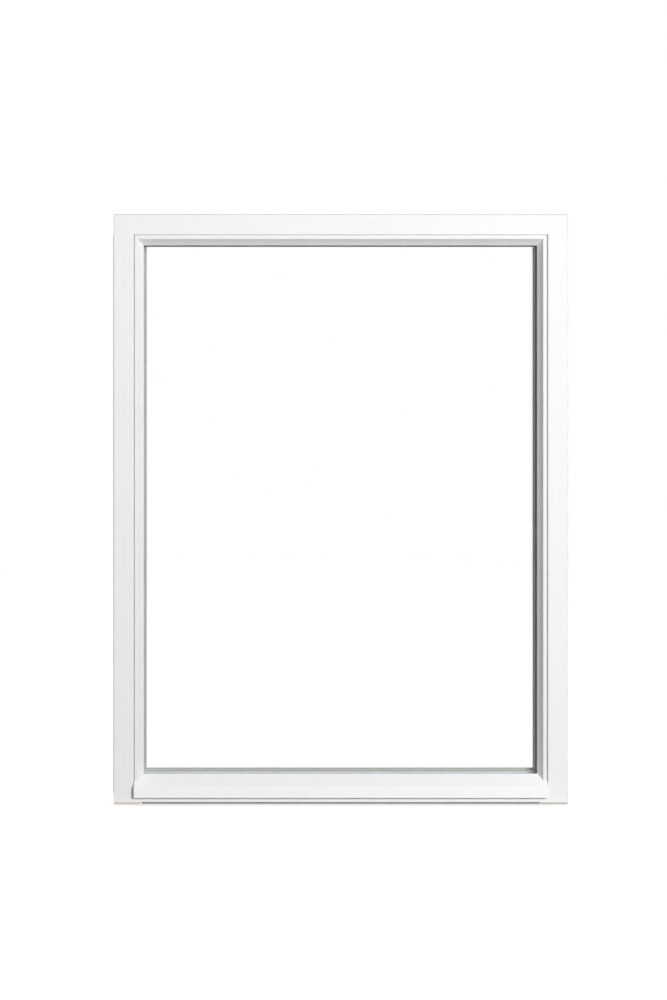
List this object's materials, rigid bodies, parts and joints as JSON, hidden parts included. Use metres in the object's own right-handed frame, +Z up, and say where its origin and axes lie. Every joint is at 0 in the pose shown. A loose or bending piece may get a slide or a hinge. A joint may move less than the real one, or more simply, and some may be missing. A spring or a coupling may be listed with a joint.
{
  "type": "fixed picture window",
  "caption": "Upright fixed window: white timber frame with a sealed glazing unit, mitred glazing beads and a sloping drip bead along the bottom.",
  "frame": {"origin": "under the middle of the whole window at floor level, half way between the drip bead's nose and the room face", "axes": "+X to the right seen from outside, +Y from outside into the room, +Z up"},
  "size_m": [0.98, 0.116, 1.27],
  "materials": {
    "painted_timber": "white satin paint",
    "coated_metal": "white powder coat, satin",
    "white_plastic": "white, satin",
    "glass": "clear float glass",
    "spacer_metal": "mill finish with fine perforation",
    "dark_sealant": "matt",
    "grey_gasket": "matt",
    "block_plastic": "matt"
  },
  "bodies": {
    "root": {"bead_head": "painted_timber", "bead_left": "painted_timber", "bead_right": "painted_timber", "drip_bead": "coated_metal", "drip_bead_end_cap_left": "white_plastic", "drip_bead_end_cap_right": "white_plastic", "edge_seal_inner": "dark_sealant", "edge_seal_outer": "dark_sealant", "frame_head": "painted_timber", "frame_jamb_left": "painted_timber", "frame_jamb_right": "painted_timber", "frame_sill": "painted_timber", "glass_inner": "glass", "glass_middle": "glass", "glass_outer": "glass", "inner_gasket_head": "grey_gasket", "inner_gasket_left": "grey_gasket", "inner_gasket_right": "grey_gasket", "inner_gasket_sill": "grey_gasket", "outer_gasket_head": "grey_gasket", "outer_gasket_left": "grey_gasket", "outer_gasket_right": "grey_gasket", "outer_gasket_sill": "grey_gasket", "setting_block_left": "block_plastic", "setting_block_right": "block_plastic", "sill_seal_strip": "grey_gasket", "spacer_inner": "spacer_metal", "spacer_outer": "spacer_metal"}
  },
  "joints": []
}
